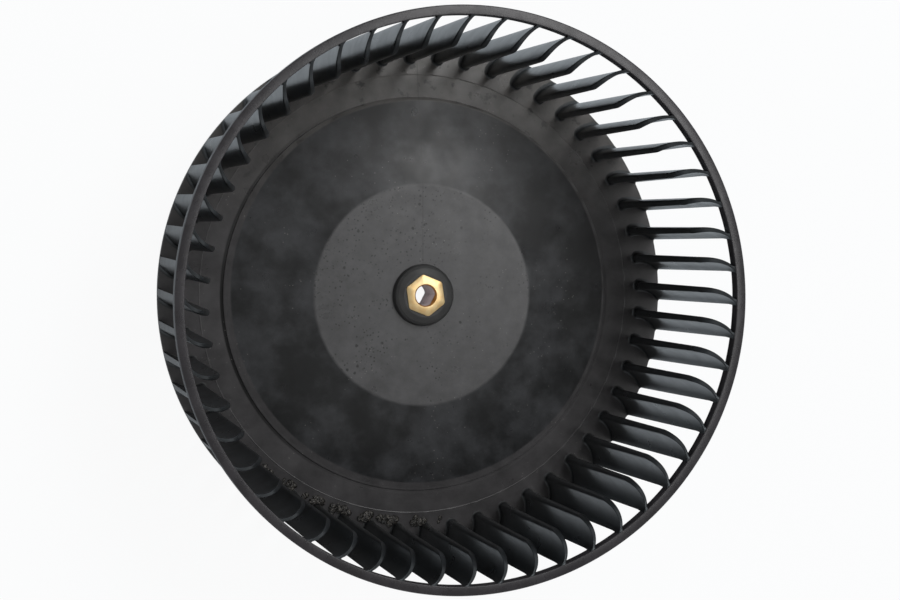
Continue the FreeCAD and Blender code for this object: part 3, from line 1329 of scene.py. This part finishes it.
@dataclass
class BrassBush:
    """Hexagonal brass insert with the shaft's bore, its flat and a countersink."""

    finish: TurnedBrass
    edge_finish: TurnedBrass
    bore_finish: TurnedBrass
    across_flats: float = 14.3
    corner_radius: float = 8.0
    angle: float = 8.0
    edge_chamfer: float = 0.1
    bore_radius: float = 3.97
    flat_distance: float = 3.35
    flat_angle: float = -28.0
    countersink: float = 0.45
    stained_depth: float = 1.5
    lining_end: float = 0.5
    lining_wall: float = 0.12
    segments: int = 240

    def angles(self) -> np.ndarray:
        """Directions of the ring points, in radians, one of them on each corner."""
        return np.radians(self.angle + np.arange(self.segments) * 360.0 / self.segments)

    def hexagon(self, shrink: float) -> np.ndarray:
        """Radius of the hexagon in each direction, with its corners turned off.

        Args:
            shrink: Amount that every side moves inwards.

        Returns:
            Radius for each direction.
        """
        turn = np.degrees(self.angles()) - self.angle
        beside = np.radians((turn + 30.0) % 60.0 - 30.0)
        return np.minimum((self.across_flats / 2 - shrink) / np.cos(beside), self.corner_radius - shrink)

    def bore(self, widen: float) -> np.ndarray:
        """Radius of the bore in each direction, with the shaft's flat.

        Args:
            widen: Amount that the bore is wider.

        Returns:
            Radius for each direction.
        """
        beside = np.cos(self.angles() - math.radians(self.flat_angle))
        flat = np.where(beside > 0.2, (self.flat_distance + widen) / np.maximum(beside, 0.2), 99.0)
        return np.minimum(self.bore_radius + widen, flat)

    def ring(self, radius: np.ndarray | float, z: float) -> np.ndarray:
        """Ring of points at a height.

        Args:
            radius: Radius, or one for each direction.
            z: Height.

        Returns:
            The points.
        """
        angles = self.angles()
        radius = np.broadcast_to(radius, angles.shape)
        return np.column_stack((radius * np.cos(angles), radius * np.sin(angles), np.full(len(angles), z)))

    def build(self) -> list[bpy.types.Object]:
        """Builds the insert, its countersink and the lining of its bore.

        Returns:
            The three pieces.
        """
        top = top_of("hub_bush")
        bottom = bottom_of("hub_bush")
        wide = self.bore_radius + self.countersink
        body, faces = loft_rings([
            self.ring(wide, top - self.stained_depth),
            self.ring(wide, bottom),
            self.ring(self.hexagon(0.0), bottom),
            self.ring(self.hexagon(0.0), top - self.edge_chamfer),
            self.ring(self.hexagon(self.edge_chamfer / 2), top - self.edge_chamfer / 4),
            self.ring(self.hexagon(self.edge_chamfer), top),
            self.ring(wide, top),
        ])
        insert = new_piece("brass_bush", body, faces, self.finish.material(), ["hub_bush"], 30.0)
        flare, faces = loft_rings([
            self.ring(wide, top - 0.01),
            self.ring(self.bore(0.0), top - self.countersink),
            self.ring(self.bore(0.0), top - self.stained_depth),
            self.ring(wide, top - self.stained_depth),
        ])
        countersunk = new_piece("bush_countersink", flare, faces, self.edge_finish.material(),
                                [], 30.0)
        lining, faces = loft_rings([
            self.ring(wide, top - self.stained_depth),
            self.ring(self.bore(0.0), top - self.stained_depth),
            self.ring(self.bore(0.0), self.lining_end),
            self.ring(self.bore(self.lining_wall), self.lining_end),
            self.ring(self.bore(self.lining_wall), bottom),
            self.ring(wide, bottom),
        ])
        bored = new_piece("bush_bore", lining, faces, self.bore_finish.material(), [], 30.0)
        return [insert, countersunk, bored]


@dataclass
class Hub:
    """Moulded hub: a barrel behind the plate, a rounded shoulder and a collar round the bush."""

    finish: MouldedNylon
    bush: BrassBush
    base_radius: float = 12.0
    base_fillet: float = 0.1
    barrel_radius: float = 10.6
    shoulder_radius: float = 10.6
    shoulder_drop: float = 0.6
    shoulder_taper: float = 0.4
    shoulder_height: float = 0.9
    collar_radius: float = 8.5
    pocket_gap: float = 0.1
    pocket_edge: float = 0.05
    bore_gap: float = 0.1
    bore_flare: float = 0.4
    edge: float = 0.2

    def build(self) -> bpy.types.Object:
        """Builds the hub.

        Returns:
            The hub.
        """
        plate_z = top_of("plate_disc")
        top = top_of("hub_boss")
        pocket = bottom_of("hub_bush")
        bush = self.bush
        profile = rounded([
            (self.barrel_radius, 0.0, 0.3),
            (self.barrel_radius, plate_z - 1.0, 0.0),
            (self.base_radius + self.base_fillet, plate_z - 0.05, 0.0),
            (self.base_radius, plate_z + 0.2, 0.3),
            (self.base_radius - self.shoulder_taper, top - self.shoulder_drop - self.shoulder_height, 0.8),
            (self.shoulder_radius, top - self.shoulder_drop, 0.6),
            (self.collar_radius, top, self.edge),
            (self.collar_radius - 0.15, top, 0.0),
        ])
        rings = [bush.ring(radius, z) for radius, z in profile]
        rings += [
            bush.ring(bush.hexagon(-self.pocket_gap - self.pocket_edge), top),
            bush.ring(bush.hexagon(-self.pocket_gap), top - 0.08),
            bush.ring(bush.hexagon(-self.pocket_gap), pocket),
            bush.ring(bush.bore(self.bore_gap), pocket),
            bush.ring(bush.bore(self.bore_gap), self.bore_flare),
            bush.ring(bush.bore(self.bore_gap + self.bore_flare), 0.0),
        ]
        points, faces = loft_rings(rings)
        return new_piece("moulded_hub", points, faces, self.finish.material(),
                         ["hub_boss"], 40.0)


@dataclass
class BalancePutty:
    """Hand-pressed putty in clumps along the blade roots.

    Each clump is given as (angle, spread of angle, number of lumps, lump radius).
    """

    finish: PressedPutty
    plate: BackPlate
    clumps: tuple[tuple[float, float, int, float], ...] = (
        (221.0, 0.4, 2, 0.7), (228.6, 1.1, 7, 1.2), (233.4, 0.5, 2, 0.7), (235.8, 0.9, 6, 1.25),
        (240.2, 0.7, 3, 0.8), (243.6, 1.2, 8, 1.35), (249.6, 2.2, 16, 1.5), (256.4, 1.2, 8, 1.35),
        (262.2, 2.2, 14, 1.4), (270.0, 2.0, 11, 1.3), (275.5, 0.6, 2, 0.7))
    radius: float = 89.6
    radius_spread: float = 1.2
    seed: int = 7
    around: int = 20
    up: int = 9

    def build(self) -> bpy.types.Object:
        """Builds all lumps as one piece.

        Returns:
            The lumps.
        """
        rng = np.random.default_rng(self.seed)
        points: list[np.ndarray] = []
        faces: Faces = []
        for middle, spread, count, mean_size in self.clumps:
            for _ in range(count):
                angle = math.radians(middle + rng.uniform(-spread, spread))
                out = self.radius + rng.uniform(-self.radius_spread, self.radius_spread)
                lump, lump_faces = self.lump(rng, mean_size * rng.uniform(0.7, 1.25))
                turn = np.array(((math.cos(angle), -math.sin(angle)), (math.sin(angle), math.cos(angle))))
                lump[:, :2] = lump[:, :2] @ turn.T + turn @ np.array((out, 0.0))
                lump[:, 2] += self.plate.front_z(out)
                base = sum(len(p) for p in points)
                points.append(lump)
                faces += [tuple(i + base for i in face) for face in lump_faces]
        return new_piece("pressed_putty", np.vstack(points), faces, self.finish.material(),
                         ["balance_putty"], 60.0)

    def lump(self, rng: np.random.Generator, size: float) -> tuple[np.ndarray, Faces]:
        """One uneven lump, flattened underneath.

        Args:
            rng: Source of the lump's unevenness.
            size: Radius of the lump.

        Returns:
            The lump's points about its own base, and its faces.
        """
        stretch = rng.uniform(0.8, 1.35, 2)
        height = size * rng.uniform(0.7, 1.1)
        spin = np.arange(self.around) * 2 * math.pi / self.around
        waves = rng.uniform(-1, 1, (6, 3))
        rings = []
        for row in range(self.up + 1):
            tilt = math.radians(-12 + 101.9 * row / self.up)
            rough = np.ones(self.around)
            for number, (phase, twist, depth) in enumerate(waves):
                rough += 0.09 * depth * np.sin((2 + number // 2) * spin + 6 * phase + 5 * twist * tilt)
            ring = size * math.cos(tilt) * rough
            rings.append(np.column_stack((ring * np.cos(spin) * stretch[0], ring * np.sin(spin) * stretch[1],
                                          height * math.sin(tilt) * (0.5 + 0.5 * rough))))
        return loft_rings(rings)


@dataclass
class Studio:
    """Pale floor, soft light and the camera."""

    floor_finish: StudioFloor
    yaw: float = 14.908
    pitch: float = -2.216
    lens: float = 79.58
    distance: float = 706.34
    side_offset: float = -7.241
    rise_offset: float = 0.669
    aim_height: float = 82.4
    floor_radius: float = 6000.0
    floor_drop: float = 0.05
    floor_sides: int = 96
    zenith_strength: float = 0.36
    horizon_strength: float = 0.9

    def camera(self) -> None:
        """Places the camera over the wheel, a little to one side, turned so that +Y is up."""
        data = bpy.data.cameras.new("camera")
        data.lens = self.lens
        data.sensor_width = 36.0
        data.clip_start = 0.01
        data.clip_end = 50.0
        camera = bpy.data.objects.new("camera", data)
        yaw = Matrix.Rotation(-math.radians(self.yaw), 4, "Y")
        pitch = Matrix.Rotation(math.radians(self.pitch), 4, "X")
        back = Matrix.Translation((self.side_offset * MM, self.rise_offset * MM, self.distance * MM))
        camera.matrix_world = Matrix.Translation((0.0, 0.0, self.aim_height * MM)) @ yaw @ pitch @ back
        bpy.context.scene.collection.objects.link(camera)
        bpy.context.scene.camera = camera

    def floor(self) -> None:
        """Lays the floor just under the wheel."""
        sides = self.floor_sides
        angles = np.arange(sides) * 2 * math.pi / sides
        rings = [np.column_stack((r * np.cos(angles), r * np.sin(angles), np.full(sides, -self.floor_drop)))
                 for r in (1.0, 400.0, self.floor_radius)]
        points, faces = loft_rings(rings, closed=False)
        faces.append(tuple(range(sides)))
        mesh = bpy.data.meshes.new("floor")
        mesh.from_pydata((points * MM).tolist(), [], faces)
        mesh.materials.append(self.floor_finish.material())
        floor = bpy.data.objects.new("floor", mesh)
        bpy.context.scene.collection.objects.link(floor)

    def lamp(self, name: str, place: tuple[float, float, float], size: tuple[float, float], power: float,
             tint: str, mirrored: bool) -> None:
        """Hangs one softbox that faces the wheel.

        Args:
            name: Name of the lamp.
            place: Position in metres.
            size: Width and height of the softbox in metres.
            power: Power in watts.
            tint: Colour of the light.
            mirrored: Whether the softbox shows in glossy surfaces.
        """
        data = bpy.data.lights.new(name, "AREA")
        data.shape = "ELLIPSE"
        data.size, data.size_y = size
        data.energy = power
        data.color = linear(tint)[:3]
        lamp = bpy.data.objects.new(name, data)
        away = Vector(place).normalized()
        across = Vector((0.0, 1.0, 0.0)).cross(away).normalized()
        turn = Matrix((across, away.cross(across), away)).transposed().to_4x4()
        lamp.matrix_world = Matrix.Translation(place) @ turn
        lamp.visible_glossy = mirrored
        bpy.context.scene.collection.objects.link(lamp)

    def world(self) -> None:
        """Fills the room with light that is brighter at the walls than overhead, and shows it white."""
        world = bpy.data.worlds.new("white_room")
        world.use_nodes = True
        tree = world.node_tree
        tree.nodes.clear()
        rays = add_node(tree, "ShaderNodeLightPath")
        direction = add_node(tree, "ShaderNodeTexCoord").outputs["Generated"]
        upward = add_node(tree, "ShaderNodeSeparateXYZ", {"Vector": direction}).outputs["Z"]
        room_light = add_node(tree, "ShaderNodeMapRange", {
            "Value": upward, "From Min": 0.1, "From Max": 0.9,
            "To Min": self.horizon_strength, "To Max": self.zenith_strength,
        }, interpolation_type="SMOOTHSTEP")
        strength = add_node(tree, "ShaderNodeMapRange", {
            "Value": rays.outputs["Is Camera Ray"], "To Min": room_light.outputs["Result"], "To Max": 1.0,
        })
        room = add_node(tree, "ShaderNodeBackground", {
            "Color": WHITE, "Strength": strength.outputs["Result"],
        })
        add_node(tree, "ShaderNodeOutputWorld", {"Surface": room.outputs["Background"]})
        bpy.context.scene.world = world

    def build(self) -> None:
        """Sets up the whole studio."""
        self.camera()
        self.floor()
        self.world()
        self.lamp("key_softbox", (0.5, 0.8, 1.5), (0.8, 0.8), 16.0, "#FFFFFF", mirrored=False)
        self.lamp("overhead_strip", (0.52, 0.46, 1.6), (0.42, 1.25), 5.4, "#FFFFFF", mirrored=True)


def main() -> None:
    """Builds the wheel's sub-assemblies in order, then the studio."""
    logging.basicConfig(level=logging.INFO, format="%(name)s %(message)s")
    bpy.context.scene.view_settings.view_transform = "Standard"
    plate_nylon = MouldedPlate(
        name="glass_filled_nylon_moulded_plate", colour="#121314", cloud_colour="#2F3032", cloud_size=16.0,
        roughness=0.33, roughness_spread=0.06, skin_size=0.9, skin_depth=0.01)
    ring_nylon = MouldedRing(
        name="glass_filled_nylon_moulded_ring", colour="#1C1A1D", cloud_colour="#272528", cloud_size=8.0,
        roughness=0.27, roughness_spread=0.04, skin_size=0.7, skin_depth=0.005)
    hub_nylon = MouldedNylon(
        name="glass_filled_nylon_moulded_hub", colour="#262626", cloud_colour="#303030", cloud_size=6.0,
        roughness=0.45, roughness_spread=0.05, skin_size=0.7, skin_depth=0.01)
    ring = InletRing(ring_nylon)
    plate = BackPlate(plate_nylon)
    blade_nylon = MouldedBlade(
        name="glass_filled_nylon_moulded_blade", colour="#161718", cloud_colour="#202224", cloud_size=12.0,
        roughness=0.3, roughness_spread=0.03, skin_size=1.6, skin_depth=0.002, sheen_tint="#E6F0F6",
        cone_base=plate.thickness, cone_radius=plate.rim_radius, cone_slope=plate.slope())
    bush = BrassBush(
        TurnedBrass("free_machining_brass_faced", "#F5D9A4", "#EBC284", 0.34),
        TurnedBrass("free_machining_brass_countersunk", "#C98C4E", "#95602F", 0.3),
        # Painted reflection: the bore's lining is painted near-white, pinkish grey, for the white floor and
        # light it reflects, and is barely metallic.
        TurnedBrass("free_machining_brass_bored_painted_reflection", "#F0E8E9", "#D9CDCE", 0.45, metallic=0.1))
    ring.build()
    plate.build()
    BladeCage(Blade(plate, ring), blade_nylon).build()
    Hub(hub_nylon, bush).build()
    bush.build()
    BalancePutty(PressedPutty("balancing_putty_pressed", "#1D1C1B", "#6A6762", 0.1), plate).build()
    Studio(StudioFloor()).build()


if __name__ == "__main__":
    main()
